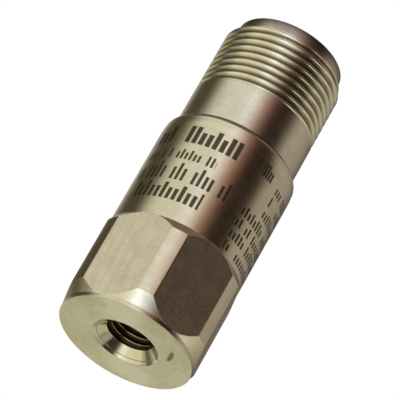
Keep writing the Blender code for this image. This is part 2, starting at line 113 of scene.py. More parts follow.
# %% A socket that does sums, and a tree that is filled by one method
class Socket:
    """One output of a node. A sum on it adds Math nodes to its tree."""

    def __init__(self, paint, output):
        self.paint = paint
        self.output = output

    def math(self, operation, *values):
        return self.paint.node("ShaderNodeMath", {"operation": operation}, dict(enumerate(values)))

    def other(self, name):
        return Socket(self.paint, self.output.node.outputs[name])

    def __add__(self, other):
        return self.math("ADD", self, other)

    def __sub__(self, other):
        return self.math("SUBTRACT", self, other)

    def __rsub__(self, other):
        return self.math("SUBTRACT", other, self)

    def __mul__(self, other):
        return self.math("MULTIPLY", self, other)

    def __truediv__(self, other):
        return self.math("DIVIDE", self, other)

    def __lt__(self, other):
        return self.math("LESS_THAN", self, other)

    def __gt__(self, other):
        return self.math("GREATER_THAN", self, other)

    def __abs__(self):
        return self.math("ABSOLUTE", self)

    __radd__ = __add__
    __rmul__ = __mul__


class Paint:
    """A node tree that is being filled."""

    def __init__(self, tree):
        self.tree = tree
        tree.nodes.clear()

    def node(self, kind, settings=None, sockets=None, output=0):
        made = self.tree.nodes.new(kind)
        for name, value in (settings or {}).items():
            if name == "stops":
                self.fill_ramp(made.color_ramp, value)
            else:
                setattr(made, name, value)
        for name, value in (sockets or {}).items():
            if isinstance(value, Socket):
                self.tree.links.new(value.output, made.inputs[name])
            else:
                made.inputs[name].default_value = value
        return Socket(self, made.outputs[output]) if made.outputs else made

    @staticmethod
    def fill_ramp(ramp, stops):
        while len(ramp.elements) < len(stops):
            ramp.elements.new(0.5)
        for element, (place, tint) in zip(ramp.elements, stops):
            element.position = place
            element.color = (*tint, 1)

    def between(self, value, low, high):
        """Rises smoothly from 0 at low to 1 at high. With high below low it falls."""
        if high < low:
            return 1 - self.between(value, high, low)
        return self.node("ShaderNodeMapRange", {"interpolation_type": "SMOOTHSTEP"},
                         {0: value, 1: low, 2: high})

    def mix(self, share, first, second):
        return self.node("ShaderNodeMix", {"data_type": "RGBA"}, {0: share, 6: first, 7: second}, 2)

    def point(self):
        """The place on the object in metres, as three sockets."""
        place = self.node("ShaderNodeTexCoord", output="Object")
        x = self.node("ShaderNodeSeparateXYZ", sockets={0: place})
        return x, x.other("Y"), x.other("Z")

    def join(self, x, y, z):
        return self.node("ShaderNodeCombineXYZ", sockets={0: x, 1: y, 2: z})

    def noise(self, place, scale, detail=2.0, roughness=0.5):
        return self.node("ShaderNodeTexNoise", sockets={
            "Vector": place, "Scale": scale, "Detail": detail, "Roughness": roughness})


def colour(red, green, blue):
    return (red, green, blue, 1.0)


print("methods of a tree:", [name for name in vars(Paint) if not name.startswith("_")])

# %% [markdown]
# ## The studio
#
# Polished metal shows nothing but its surroundings, so the studio is most of the picture. The world
# is plain white. Round the sensor stands a tent, as a product photographer builds one for metal:
# pale cloth with dark upright panels, which draw the edges of a round part. One ramp round the
# horizon gives the upper wall, one the lower wall and one the ground. Five cards stand in front of
# the cloth: a dim one high up keeps the flange's shoulder from going black, and those below light the
# mounting hole and the flanks of the thread. The camera looks through the tent at the white world.

# %% The tent's colours round the horizon
UPPER_WALL = (
    (-180, (0.55, 0.52, 0.47)), (-158, (0.50, 0.48, 0.44)), (-146, (0.26, 0.24, 0.21)),
    (-134, (0.11, 0.09, 0.055)), (-104, (0.09, 0.075, 0.045)), (-92, (0.29, 0.29, 0.25)),
    (-80, (0.80, 0.80, 0.70)), (-66, (1.04, 1.08, 1.04)), (-34, (1.08, 1.08, 1.08)),
    (-14, (1.30, 1.34, 1.48)), (-3, (0.95, 0.83, 0.80)), (8, (0.50, 0.31, 0.29)),
    (18, (0.22, 0.10, 0.08)), (28, (0.045, 0.028, 0.022)), (46, (0.030, 0.018, 0.014)),
    (58, (0.06, 0.04, 0.03)), (66, (0.20, 0.17, 0.15)), (78, (0.52, 0.47, 0.43)),
    (94, (0.58, 0.52, 0.48)), (128, (0.44, 0.39, 0.35)), (150, (0.20, 0.18, 0.16)),
    (164, (0.11, 0.10, 0.085)), (176, (0.13, 0.12, 0.10)),
)
LOWER_WALL = (
    (-180, (0.72, 0.73, 0.60)), (-158, (0.70, 0.70, 0.56)), (-141, (0.72, 0.72, 0.57)),
    (-130, (0.25, 0.23, 0.17)), (-117, (0.14, 0.12, 0.09)), (-104, (0.38, 0.36, 0.29)),
    (-92, (0.42, 0.40, 0.33)), (-85, (0.95, 0.92, 0.80)), (-75, (1.30, 1.26, 1.10)),
    (-46, (1.20, 1.16, 1.08)), (-31, (1.25, 1.26, 1.28)), (-18, (2.30, 2.50, 3.10)),
    (-8, (1.45, 1.60, 2.00)), (6, (0.72, 0.70, 0.76)),
    (20, (0.17, 0.12, 0.09)), (56, (0.15, 0.12, 0.09)), (70, (1.00, 0.95, 0.90)),
    (84, (0.95, 0.90, 0.85)), (100, (0.66, 0.62, 0.56)), (116, (0.52, 0.49, 0.43)),
    (131, (0.32, 0.30, 0.25)), (146, (0.32, 0.31, 0.25)), (160, (0.62, 0.62, 0.52)),
)
GROUND_WALL = (
    (-180, (0.90, 0.90, 0.72)), (-152, (0.40, 0.38, 0.30)), (-134, (0.07, 0.07, 0.045)),
    (-122, (0.18, 0.18, 0.13)), (-112, (0.34, 0.33, 0.25)), (-98, (1.00, 1.02, 0.78)),
    (-84, (0.90, 0.88, 0.68)), (-68, (1.00, 0.98, 0.74)), (-48, (1.05, 1.03, 0.80)),
    (-34, (1.10, 1.10, 1.00)), (-10, (1.40, 1.40, 1.35)), (8, (1.00, 0.92, 0.88)),
    (24, (0.14, 0.11, 0.09)), (44, (0.05, 0.04, 0.03)), (106, (0.045, 0.033, 0.030)),
    (118, (0.12, 0.10, 0.09)), (134, (0.18, 0.15, 0.13)), (154, (0.45, 0.42, 0.34)),
)
NADIR_LEFT = colour(0.40, 0.38, 0.29)
NADIR_RIGHT = colour(0.09, 0.065, 0.05)
CEILING = colour(0.27, 0.20, 0.17)
# Each card: outer and inner edges round the horizon, the same in height, in degrees, and its colour
HIGH_CARD = ((34, 44, 74, 90), (50, 54, 60, 65), colour(0.22, 0.19, 0.17))
RIGHT_CARD = ((94, 103, 140, 152), (-39, -33, -10, -2), colour(0.64, 0.62, 0.50))
LEFT_CARD = ((-117, -109, -92, -84), (-43, -38, -27, -20), colour(0.62, 0.60, 0.47))
FRONT_CARD = ((36, 42, 60, 68), (-43, -38, -22, -15), colour(1.55, 1.50, 1.45))
SINK_CARD = ((72, 81, 100, 108), (-56, -50, -36, -30), colour(0.52, 0.50, 0.40))
TENT_RADIUS = 4.0
# Heights in degrees between which one part of the tent passes into the next
NADIR_TO_GROUND, GROUND_TO_LOWER = (-80, -70), (-45, -30)
LOWER_TO_UPPER, UPPER_TO_CEILING = (2, 14), (45, 72)
print("stops round the walls:", len(UPPER_WALL), len(LOWER_WALL), len(GROUND_WALL))


def sine(degrees):
    return math.sin(math.radians(degrees))


def along(paint, place, direction):
    return paint.node("ShaderNodeVectorMath", {"operation": "DOT_PRODUCT"},
                      {0: place, 1: direction}, "Value")


def wall(paint, bearing, stops):
    """A ramp round the horizon. Its stops are bearings in degrees from the camera's."""
    share = bearing * (1 / math.tau) + 0.5
    places = [((degrees + 180) / 360, tint) for degrees, tint in stops]
    places.append((1.0, places[0][1]))
    return paint.node("ShaderNodeValToRGB", {"stops": places}, {0: share})


def window(paint, value, edges):
    """1 between the two inner edges and 0 outside the two outer ones."""
    return paint.between(value, edges[0], edges[1]) * paint.between(value, edges[3], edges[2])


def new_paint(name):
    material = bpy.data.materials.new(name)
    material.use_nodes = True
    return material, Paint(material.node_tree)


# %% World and tent
world = bpy.data.worlds.new("white")
bpy.context.scene.world = world
world.use_nodes = True
white = Paint(world.node_tree)
white.node("ShaderNodeOutputWorld", sockets={
    "Surface": white.node("ShaderNodeBackground", sockets={"Color": colour(1, 1, 1), "Strength": 1.0})})

cloth, dome = new_paint("tent_cloth")
place = dome.node("ShaderNodeTexCoord", output="Object")
ray = dome.node("ShaderNodeVectorMath", {"operation": "NORMALIZE"}, {0: place})
height = along(dome, ray, (0, 0, 1))
towards, beside = along(dome, ray, flat_view), along(dome, ray, side_view)
bearing = beside.math("ARCTAN2", beside, towards)
walls = dome.mix(dome.between(beside, -0.10, 0.08), NADIR_LEFT, NADIR_RIGHT)
for heights, above in ((NADIR_TO_GROUND, wall(dome, bearing, GROUND_WALL)),
                       (GROUND_TO_LOWER, wall(dome, bearing, LOWER_WALL)),
                       (LOWER_TO_UPPER, wall(dome, bearing, UPPER_WALL)), (UPPER_TO_CEILING, CEILING)):
    walls = dome.mix(dome.between(height, *[sine(v) for v in heights]), walls, above)
for bearings, heights, tint in (HIGH_CARD, RIGHT_CARD, LEFT_CARD, FRONT_CARD, SINK_CARD):
    card = window(dome, bearing, [math.radians(v) for v in bearings])
    card = card * window(dome, height, [sine(v) for v in heights])
    walls = dome.mix(card, walls, tint)
glow = dome.node("ShaderNodeEmission", sockets={"Color": walls, "Strength": 1.0})
dome.node("ShaderNodeOutputMaterial", sockets={"Surface": glow})

bm = bmesh.new()
bmesh.ops.create_icosphere(bm, subdivisions=4, radius=TENT_RADIUS)
tent = bpy.data.objects.new("tent", bpy.data.meshes.new("tent"))
bm.to_mesh(tent.data)
bm.free()
tent.data.materials.append(cloth)
tent.visible_camera = False
tent.visible_shadow = False
bpy.context.scene.collection.objects.link(tent)
print("tent of", len(tent.data.polygons), "faces, painted by", len(cloth.node_tree.nodes), "nodes")

# %% [markdown]
# ## The floor
#
# The camera of the photograph is below the sensor, so a floor would hide it. This floor is a sheet
# that shows only from above: from below its material lets the camera through, and its mirror
# image stays out of the steel. Views from above then have a pale floor with the sensor's shadow.

# %% Floor
FLOOR_SIDE = 600 * MM
FLOOR_DROP = 0.02 * MM

bm = bmesh.new()
bmesh.ops.create_grid(bm, x_segments=1, y_segments=1, size=FLOOR_SIDE / 2)
bmesh.ops.translate(bm, verts=bm.verts, vec=(0, 0, -FLOOR_DROP))
floor = bpy.data.objects.new("floor", bpy.data.meshes.new("floor"))
bm.to_mesh(floor.data)
bm.free()
floor_finish, floor_paint = new_paint("pale_floor")
pale = floor_paint.node("ShaderNodeBsdfDiffuse", sockets={"Color": colour(0.8, 0.82, 0.84)})
glow = floor_paint.node("ShaderNodeEmission", sockets={"Color": colour(0.45, 0.46, 0.47)})
pale = floor_paint.node("ShaderNodeAddShader", sockets={0: pale, 1: glow})
clear = floor_paint.node("ShaderNodeBsdfTransparent")
under = floor_paint.node("ShaderNodeNewGeometry", output="Backfacing")
both = floor_paint.node("ShaderNodeMixShader", sockets={0: under, 1: pale, 2: clear})
floor_paint.node("ShaderNodeOutputMaterial", sockets={"Surface": both})
floor.data.materials.append(floor_finish)
for kind in ("diffuse", "glossy", "transmission", "shadow"):
    setattr(floor, "visible_" + kind, False)
bpy.context.scene.collection.objects.link(floor)
print("floor", FLOOR_SIDE / MM, "mm wide")

# %% [markdown]
# ## Steel finishes
#
# One stainless steel, cut in several ways. Turning leaves fine rings round the axis, milling leaves
# upright streaks, and facing leaves rings about the centre of the mounting face. In each case the
# height of the marks goes to a Bump node, and slow noise stains the colour and the polish a little,
# because handled steel never stays even. Where a surface needs more, a function adds it to the
# common recipe: etched print on the body, a brown line at the neck, painted shade in the roots of a
# thread, in the mounting hole and at the mouth, and a painted highlight across the mounting face.

# %% Steel
STEEL = (0.60, 0.54, 0.39)
STAIN = (0.52, 0.47, 0.31)
CLOUDS_PER_METRE = 420.0
SPECKS_PER_METRE = 2600.0
GROOVE_SHADE = 0.7   # colour of the cutter's grooves, as a share of the stain's


def steel(name, marks, polish, depth, tint=STEEL, stain=STAIN, streaks=0.22, wear_and_painted_light=None):
    """Stainless steel. marks(paint, x, y, z) gives the place in which the cutter's noise is read,
    depth is the relief in mm, and wear(paint, place, shade, rough) changes the last two by place:
    stains, print, painted shade and a painted highlight, each on its own surfaces."""
    material, paint = new_paint(name)
    x, y, z = paint.point()
    cut = paint.noise(marks(paint, x, y, z), 1.0, 3.0, 0.6)
    cloud = paint.noise(paint.join(x, y, z), CLOUDS_PER_METRE, 5.0, 0.68)
    specks = paint.noise(paint.join(x, y, z), SPECKS_PER_METRE, 2.0, 0.5)
    dull = paint.between(cloud * 0.7 + specks * 0.3, 0.40, 0.62)
    shade = paint.mix(dull * 0.7, colour(*tint), colour(*stain))
    groove = colour(*(GROOVE_SHADE * c for c in stain))
    shade = paint.mix(paint.between(cut, 0.3, 0.75) * streaks, shade, groove)
    rough = polish + dull * 0.05 + specks * 0.05
    if wear_and_painted_light:
        shade, rough = wear_and_painted_light(paint, (x, y, z), shade, rough)
    lines = paint.node("ShaderNodeBump", sockets={
        "Strength": 1.0, "Distance": depth * MM, "Height": cut})
    return metal(material, paint, shade, rough, lines)


def metal(material, paint, shade, rough, lines):
    shader = paint.node("ShaderNodeBsdfPrincipled", sockets={
        "Base Color": shade, "Metallic": 1.0, "Roughness": rough, "Normal": lines})
    paint.node("ShaderNodeOutputMaterial", sockets={"Surface": shader})
    return material


def from_axis(x, y):
    return x.math("SQRT", x * x + y * y)


def turned_marks(paint, x, y, z):
    return paint.join(x * 60.0, y * 60.0, z * 12000.0)


def milled_marks(paint, x, y, z):
    return paint.join(x * 3800.0, y * 3800.0, z * 90.0)


def faced_marks(paint, x, y, z):
    return paint.join(x * 120.0, y * 120.0, from_axis(x, y) * 8000.0)


print("steel", STEEL, "and its stain", STAIN)

# %% Stains, a brown line, painted shade and a painted highlight on single surfaces
NECK_START = 28.90 * MM
SHELL_TOP = 45.60 * MM
# Painted shade at the rim of the mouth: the levels at which it begins and is full, and its colour
RIM_SHADE_LEVELS = (SHELL_TOP - 1.2 * MM, SHELL_TOP - 0.1 * MM)
RIM_SHADE = colour(0.10, 0.08, 0.065)
COUPLING_ROOT_SHADE = (7.72 * MM, 7.42 * MM)   # radii at which the painted shade in the roots begins and is full
ROOT_SHADE = colour(0.20, 0.165, 0.11)
# Levels of the brown line at the foot of the neck; below the crease it covers the shoulder as painted
# shade
CREASE = [NECK_START + v * MM for v in (-0.62, -0.26, 0.15, 0.27)]
CREASE_BROWN_AND_SHADE = colour(0.085, 0.05, 0.022)
# A band of painted highlight across the mounting face: its bearing, and the half widths beyond which it
# is gone and within which it is full
SHEEN_BEARING = math.radians(-20)
SHEEN_ACROSS = side_view * math.cos(SHEEN_BEARING) - flat_view * math.sin(SHEEN_BEARING)
SHEEN_HALF_WIDTHS = (4.4 * MM, 1.2 * MM)
PAINTED_SHEEN, PALE_CLOUD = colour(0.71, 0.66, 0.51), colour(0.70, 0.66, 0.51)
DARK_CLOUD, DENT_DARK = colour(0.44, 0.38, 0.25), colour(0.20, 0.14, 0.13)
# Painted shade in the mounting hole: radii at which the brown crests pass into the dark roots, and levels
# at which the shade comes in
MOUNT_ROOT_SHADE = (2.78 * MM, 2.86 * MM)
HOLE_SHADE_FROM = (1.30 * MM, 1.42 * MM)   # levels in the mounting hole
SHADED_CREST, SHADED_ROOT = colour(0.30, 0.24, 0.16), colour(0.035, 0.022, 0.012)


def shaded_rim(paint, place, shade, rough):
    """Darkest at the rim of the mouth: painted shade for the dark that the rounded rim reflects."""
    rim = paint.between(place[2], *RIM_SHADE_LEVELS)
    return paint.mix(rim * 0.85, shade, RIM_SHADE), rough + rim * 0.05


def shaded_roots(paint, place, shade, rough):
    """Painted shade in the roots of the connector's thread, which are also a little rougher."""
    root = paint.between(from_axis(place[0], place[1]), *COUPLING_ROOT_SHADE)
    return paint.mix(root * 0.45, shade, ROOT_SHADE), rough + root * 0.06


def brown_line_and_shoulder_shade(paint, place, shade, rough):
    """A brown line at the foot of the neck, which reaches down over the shoulder as painted shade."""
    crease = window(paint, place[2], CREASE)
    return paint.mix(crease * 0.92, shade, CREASE_BROWN_AND_SHADE), rough + crease * 0.15


def face_sheen_and_stains(paint, place, shade, rough):
    """Slow stains, a painted highlight in a band across them where a turned face shows a sheen, and a
    darker colour in the dent.
    """
    cloud = paint.noise(paint.join(*place), 190.0, 3.0, 0.6)
    aside = abs(along(paint, paint.join(*place), SHEEN_ACROSS))
    sheen = paint.between(aside + (cloud - 0.5) * 1.6 * MM, *SHEEN_HALF_WIDTHS)
    shade = paint.mix(sheen * 0.75, shade, PAINTED_SHEEN)
    shade = paint.mix(paint.between(cloud, 0.48, 0.70) * 0.4, shade, PALE_CLOUD)
    shade = paint.mix(paint.between(cloud, 0.52, 0.30) * 0.6, shade, DARK_CLOUD)
    # Darker where the face is pressed in, the more so where the dent is deeper
    in_dent = paint.between(place[2], 0.02 * MM, 0.10 * MM)
    return paint.mix(in_dent * 0.85, shade, DENT_DARK), rough + in_dent * 0.1


def shaded_hole(paint, place, shade, rough):
    """Painted shade deep in the mounting hole: the countersink keeps the steel's colour, the crests of
    the thread below it are brown and its roots dark.
    """
    root = paint.between(from_axis(place[0], place[1]), *MOUNT_ROOT_SHADE)
    shaded = paint.mix(root, SHADED_CREST, SHADED_ROOT)
    deep = paint.between(place[2], *HOLE_SHADE_FROM)
    return paint.mix(deep, shade, shaded), rough + deep * root * 0.2


print("crease at the neck, levels in mm:", [round(v / MM, 2) for v in CREASE])

# %% The finishes: marks, polish, relief in mm, tint, stain
turned_steel = steel("turned_steel", turned_marks, 0.16, 0.004)
milled_steel = steel("milled_steel", milled_marks, 0.27, 0.016, (0.66, 0.575, 0.42),
                     (0.56, 0.485, 0.34), 0.40)
faced_steel = steel("faced_steel", faced_marks, 0.22, 0.026, (0.585, 0.53, 0.375),
                    (0.51, 0.46, 0.305), 0.15, face_sheen_and_stains)
tapped_steel = steel("tapped_steel", turned_marks, 0.08, 0.002, (0.68, 0.62, 0.47),
                     (0.60, 0.55, 0.40), wear_and_painted_light=shaded_hole)
neck_steel = steel("neck_steel", turned_marks, 0.17, 0.004, (0.60, 0.555, 0.43),
                   (0.53, 0.48, 0.35), wear_and_painted_light=brown_line_and_shoulder_shade)
thread_steel = steel("thread_steel", turned_marks, 0.11, 0.002, (0.61, 0.565, 0.43),
                     (0.52, 0.475, 0.345), wear_and_painted_light=shaded_roots)
# The lead is the neck's steel, tinted darker and browner as painted shade
shaded_lead_steel = steel("shaded_lead_steel", turned_marks, 0.24, 0.006, (0.39, 0.325, 0.27),
                   (0.30, 0.245, 0.20), wear_and_painted_light=shaded_rim)
print("steel finishes:", [m.name for m in bpy.data.materials if m.name.endswith("_steel")])

# %% [markdown]
# ## Etched marks on the body
#
# A laser darkens the steel where the maker's data stands. This part carries no data, so the same
# rows are filled with plain strokes, which say nothing. The body is unrolled in the shader: the
# bearing times the radius is the way along a row, and the height is the way across it. In each
# row a stroke is a share of a repeated step, and White Noise leaves out some and shortens others.

# %% Etched rows
# Lowest and highest level in mm, first and last bearing in degrees from the camera, step and
# stroke width in mm
ETCHED_ROWS = (
    (23.9, 26.5, -72, 5, 0.92, 0.74),
    (21.4, 22.9, -74, -7, 0.58, 0.38),
    (18.3, 20.9, -74, 19, 0.72, 0.48),
    (15.4, 17.8, -74, -3, 0.82, 0.60),
    (24.6, 26.5, 27, 40, 0.44, 0.36),
    (24.2, 25.6, 49, 84, 0.62, 0.42),
    (22.4, 23.8, 48, 84, 0.62, 0.42),
    (20.6, 22.0, 47, 84, 0.62, 0.42),
    (18.6, 20.1, 26, 84, 0.62, 0.42),
    (16.9, 18.3, 26, 84, 0.62, 0.42),
    (15.2, 16.6, 26, 84, 0.62, 0.42),
    (13.4, 14.8, 29, 84, 0.62, 0.42),
)
ETCHED = colour(0.045, 0.033, 0.020)
BODY_RADIUS_MM = 8.80
LEFT_OUT = 0.14      # share of strokes
SHORTER_BY = 0.28    # of a row's height, for half of the strokes
SOFT_EDGE = 0.06     # mm


def etched_row(paint, way, z, row):
    """1 on the strokes of a row and 0 elsewhere. way and z are in mm."""
    low, high, first, last, step, width = row
    first_way, last_way = (math.radians(v) * BODY_RADIUS_MM for v in (first, last))
    cell = way / step
    number = cell.math("FLOOR", cell)
    chance = paint.node("ShaderNodeTexWhiteNoise", {"noise_dimensions": "2D"},
                        {"Vector": paint.join(number, low, 0.0)}, "Value")
    tall = paint.node("ShaderNodeTexWhiteNoise", {"noise_dimensions": "2D"},
                      {"Vector": paint.join(number, high, 7.0)}, "Value")
    stroke = width / step
    within = window(paint, cell - number, (0.0, 0.12, stroke - 0.12, stroke))
    top = high - (high - low) * SHORTER_BY * (tall > 0.5)
    upright = paint.between(z, low, low + SOFT_EDGE) * paint.between(top - z, 0.0, SOFT_EDGE)
    along_row = (way > first_way) * (way < last_way)
    return within * upright * along_row * (chance > LEFT_OUT)


def etched(paint, point, shade, rough):
    """Dull dark strokes burnt into the body. A little noise makes their edges uneven."""
    place = paint.join(*point)
    beside = along(paint, place, side_view)
    bearing = beside.math("ARCTAN2", beside, along(paint, place, flat_view))
    wobble = paint.noise(place, 9000.0, 2.0) * 0.10 - 0.05
    way, level = bearing * BODY_RADIUS_MM + wobble, point[2] / MM + wobble
    mask = 0.0
    for row in ETCHED_ROWS:
        mask = etched_row(paint, way, level, row) + mask
    mask = mask.math("MINIMUM", mask, 1.0) * 0.94
    return paint.mix(mask, shade, ETCHED), rough + mask * 0.25


etched_steel = steel("etched_steel", turned_marks, 0.16, 0.004, wear_and_painted_light=etched)
print(len(ETCHED_ROWS), "etched rows in", len(etched_steel.node_tree.nodes), "nodes")

# %% [markdown]
# ## The case
#
# The case is one bar of steel: turned, then milled to a hexagon. A lathe outline gives its radius
# at each height, and six planes cut it. So its surface follows a rule: in each direction from the
# axis the side stands at the bar's radius or at the plane's, whichever is smaller, and the
# chamfers meet it at the level where their cones have that radius. A soft minimum rounds the edge
# between bar and plane, as a deburred edge is. One outline for each direction gives exact curved
# edges with few faces, which Booleans and bevels don't.

# %% Outlines
ROUNDING_ROOM = 0.36   # the most that a rounding takes of the side next to it
GUARD = 1.3            # place of the guard points, as a share of the rounding
DOUBLED, EMPTY = 0.0005 * MM, 0.0002 * MM   # points and edges that are merged or dropped


def eased(corners, steps=4):
    """An outline of (radius, height, rounding) corners with each inner corner rounded.

    A guard point on each side of a rounding keeps the smooth shading of the walls flat."""
    outline = [Vector(corners[0][:2])]
    for before, corner, after in zip(corners, corners[1:], corners[2:]):
        middle, rounding = Vector(corner[:2]), corner[2]
        if rounding == 0:
            outline.append(middle)
            continue
        back, ahead = Vector(before[:2]) - middle, Vector(after[:2]) - middle
        reach = min(rounding, ROUNDING_ROOM * back.length, ROUNDING_ROOM * ahead.length)
        back, ahead = back.normalized() * reach, ahead.normalized() * reach
        outline.append(middle + back * GUARD)
        for k in range(steps + 1):
            t = k / steps
            outline.append(middle + back * (1 - t) ** 2 + ahead * t ** 2)
        outline.append(middle + ahead * GUARD)
    outline.append(Vector(corners[-1][:2]))
    return outline


def ring_mesh(name, rings):
    """Faces between neighbouring rings of as many points. Rings on the axis become a point."""
    count = len(rings[0])
    corners = [point for ring in rings for point in ring]
    faces = []
    for j in range(len(rings) - 1):
        low, high = j * count, (j + 1) * count
        for k in range(count):
            after = (k + 1) % count
            faces.append((low + k, low + after, high + after, high + k))
    mesh = bpy.data.meshes.new(name)
    mesh.from_pydata(corners, [], faces)
    return mesh


def tidy(mesh):
    """Merges doubled points, drops empty faces and turns every face outwards."""
    bm = bmesh.new()
    bm.from_mesh(mesh)
    bmesh.ops.remove_doubles(bm, verts=bm.verts, dist=DOUBLED)
    bmesh.ops.dissolve_degenerate(bm, edges=bm.edges, dist=EMPTY)
    bmesh.ops.recalc_face_normals(bm, faces=bm.faces)
    bm.to_mesh(mesh)
    bm.free()
    mesh.shade_smooth()
    return mesh


def piece(name, mesh, finishes, replaced=None):
    """A finished piece that rides on the body and may stand for a CAD node."""
    item = bpy.data.objects.new(name, mesh)
    bpy.context.scene.collection.objects.link(item)
    for finish in finishes:
        mesh.materials.append(finish)
    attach(item, "root")
    if replaced:
        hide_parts(replaced)
    print(name, len(mesh.polygons), "faces")


print("a rounded corner has", len(eased([(0, 0, 0), (1, 0, 0.1), (1, 1, 0)])) - 2, "points")

# %% Sizes of the case, in metres
HEX_APOTHEM = 8.74 * MM
BAR_RADIUS = 9.53 * MM
BODY_RADIUS = BODY_RADIUS_MM * MM
LAND_TOP = 0.55 * MM
BASE_CHAMFER_TOP = 2.30 * MM
HEX_BAND_TOP = 11.63 * MM
BODY_START = 12.90 * MM
FLATS_TOP = 12.96 * MM
HOLE_RADIUS = 3.175 * MM
HOLE_DEPTH = 7.2 * MM
DRILL_TIP = 9.11 * MM
SINK_RADIUS = 4.34 * MM   # the countersink, with a line that the tool left in it
SINK_LINE = 0.36 * MM
SINK_LINE_RISE = 0.09 * MM
SINK_DEPTH = 1.32 * MM
SINK_END_RADIUS = 3.06 * MM
EDGE_ROUNDING = 0.06 * MM
FLAT_FACES_MINUS_Y = math.radians(-90)


def hex_reach(angle):
    """Distance from the axis to the milled planes in a direction."""
    sixth = math.tau / 6
    aside = (angle - FLAT_FACES_MINUS_Y + sixth / 2) % sixth - sixth / 2
    return HEX_APOTHEM / math.cos(aside)


def softer_of(first, second):
    """The smaller of two lengths, rounded where they are nearly the same."""
    share = max(EDGE_ROUNDING - abs(first - second), 0) / EDGE_ROUNDING
    return min(first, second) - share * share * EDGE_ROUNDING / 4


print("across the flats", round(2 * HEX_APOTHEM / MM, 2), "mm, bar", round(2 * BAR_RADIUS / MM, 2), "mm")

# %% [markdown]
# Handling left a small leaf-shaped dent in the mounting face, where an edge once pressed into it.
# It is worn into the grid itself: points inside the leaf sink, and most along its middle.

# %% Dent in the mounting face
DENT_MIDDLE = (2.60 * MM, 5.34 * MM)   # towards the camera and beside it
DENT_HALF_LENGTH = 1.35 * MM
DENT_WIDTH = 0.25 * MM
DENT_BOW = 0.16 * MM
DENT_DEPTH = 0.20 * MM


def dent(x, y):
    """How far the mounting face is pressed in at a point."""
    point = Vector((x, y, 0))
    ahead = (point.dot(flat_view) - DENT_MIDDLE[0]) / DENT_HALF_LENGTH
    share = 1 - ahead * ahead
    if share <= 0:
        return 0.0
    away = (point.dot(side_view) - DENT_MIDDLE[1] - DENT_BOW * share) / (DENT_WIDTH * math.sqrt(share))
    return DENT_DEPTH * math.sqrt(share) * math.exp(-away * away)


deepest = flat_view * DENT_MIDDLE[0] + side_view * (DENT_MIDDLE[1] + DENT_BOW)
print("the dent is", round(dent(deepest.x, deepest.y) / MM, 2), "mm deep")

# %% Outline of the case in one direction
ROUND_OFF = 0.08 * MM
FINE_ROUND_OFF = 0.02 * MM
LIP_WIDTH = 0.7 * MM
SINK_STEP = 0.06 * MM   # rise from the end of the countersink to the bore of the hole
CAVITY_RADIUS = 7.10 * MM
CAVITY_FLOOR = 10.31 * MM
CAVITY_FILLET = 0.6 * MM
WELD_FOOT = 26.73 * MM
CASE_TOP = 27.20 * MM
DENT_ROWS = 26
DENT_RADII = (5.0 * MM, 7.1 * MM)   # the face has finer rings between these
BASE_CHAMFER = (BASE_CHAMFER_TOP - LAND_TOP) / (BAR_RADIUS - HEX_APOTHEM)
TOP_CHAMFER = (BODY_START - HEX_BAND_TOP) / (BAR_RADIUS - BODY_RADIUS)
DENT_STEP = (DENT_RADII[1] - DENT_RADII[0]) / DENT_ROWS
dent_rows = [(DENT_RADII[1] - k * DENT_STEP, 0, 0) for k in range(DENT_ROWS + 1)]


def case_corners(angle):
    side = softer_of(BAR_RADIUS, hex_reach(angle))
    low = LAND_TOP + BASE_CHAMFER * (side - HEX_APOTHEM)
    high = min(BODY_START - TOP_CHAMFER * (side - BODY_RADIUS), FLATS_TOP)
    return [
        (0, CAVITY_FLOOR, 0), (CAVITY_RADIUS, CAVITY_FLOOR, CAVITY_FILLET),
        (CAVITY_RADIUS, CASE_TOP, ROUND_OFF), (BODY_RADIUS - LIP_WIDTH, CASE_TOP, ROUND_OFF),
        (BODY_RADIUS, WELD_FOOT, ROUND_OFF / 8), (BODY_RADIUS, max(BODY_START, high), ROUND_OFF / 2),
        (side, high, ROUND_OFF), (side, low, ROUND_OFF), (HEX_APOTHEM, LAND_TOP, ROUND_OFF),
        (HEX_APOTHEM, 0, ROUND_OFF), *dent_rows, (SINK_RADIUS, 0, ROUND_OFF / 2),
        (SINK_RADIUS - SINK_LINE, SINK_LINE, FINE_ROUND_OFF),
        (SINK_RADIUS - SINK_LINE, SINK_LINE + SINK_LINE_RISE, FINE_ROUND_OFF),
        (SINK_END_RADIUS, SINK_DEPTH, FINE_ROUND_OFF),
        (HOLE_RADIUS, SINK_DEPTH + SINK_STEP, FINE_ROUND_OFF),
        (HOLE_RADIUS, HOLE_DEPTH, ROUND_OFF), (0, DRILL_TIP, 0)]


print("corners of the outline:", len(case_corners(0)))

# %% Case mesh
CASE_COLUMNS = 240
# Columns beside each milled edge, in degrees from it, and the room that they need
EDGE_SPREAD = (-1.3, -0.95, -0.7, -0.45, -0.2, 0.2, 0.45, 0.7, 0.95, 1.3)
EDGE_ROOM = 1.8
half_flat = math.degrees(math.acos(HEX_APOTHEM / BAR_RADIUS))
edges = [60 * k + side * half_flat - 90 for k in range(6) for side in (-1, 1)]
columns = [360 * k / CASE_COLUMNS - 90 for k in range(CASE_COLUMNS)]
columns = [v for v in columns if min(abs((v - e + 180) % 360 - 180) for e in edges) > EDGE_ROOM]
columns = sorted(columns + [(e + v + 90) % 360 - 90 for e in edges for v in EDGE_SPREAD])

